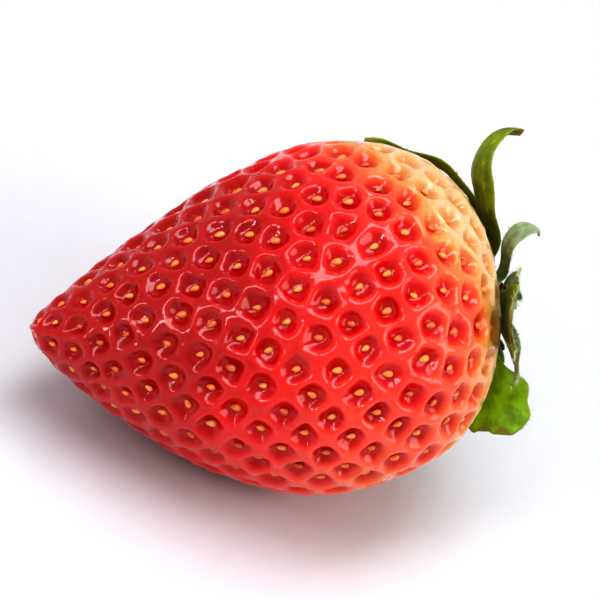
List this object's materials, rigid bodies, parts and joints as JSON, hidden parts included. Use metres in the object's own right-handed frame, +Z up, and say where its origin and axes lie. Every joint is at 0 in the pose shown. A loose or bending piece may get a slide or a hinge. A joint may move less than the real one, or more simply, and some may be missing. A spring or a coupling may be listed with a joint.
{
  "type": "strawberry",
  "caption": "Ripe strawberry lying on its side: red conical fruit with a ring of green sepals and bractlets and a cut stalk.",
  "frame": {"origin": "middle of the small flat that the fruit rests on", "axes": "+Z up, -X towards the fruit's tip, +X towards its stalk, so the fruit's own axis lies over the XZ plane and rises 13 degrees towards the stalk"},
  "size_m": [0.0552, 0.0392, 0.04],
  "materials": {
    "fruit_skin": "gloss",
    "sepal_leaf": "satin",
    "bractlet_leaf": "satin",
    "calyx_cup": "matte",
    "stalk": "matte"
  },
  "bodies": {
    "root": {"fruit_flesh": "fruit_skin", "calyx_cup": "calyx_cup", "stalk": "stalk", "sepal_1": "sepal_leaf", "sepal_2": "sepal_leaf", "sepal_3": "sepal_leaf", "sepal_4": "sepal_leaf", "sepal_5": "sepal_leaf", "sepal_6": "sepal_leaf", "bractlet_1": "bractlet_leaf", "bractlet_2": "bractlet_leaf", "bractlet_3": "bractlet_leaf", "bractlet_4": "bractlet_leaf", "bractlet_5": "bractlet_leaf", "bractlet_6": "bractlet_leaf"}
  },
  "joints": []
}
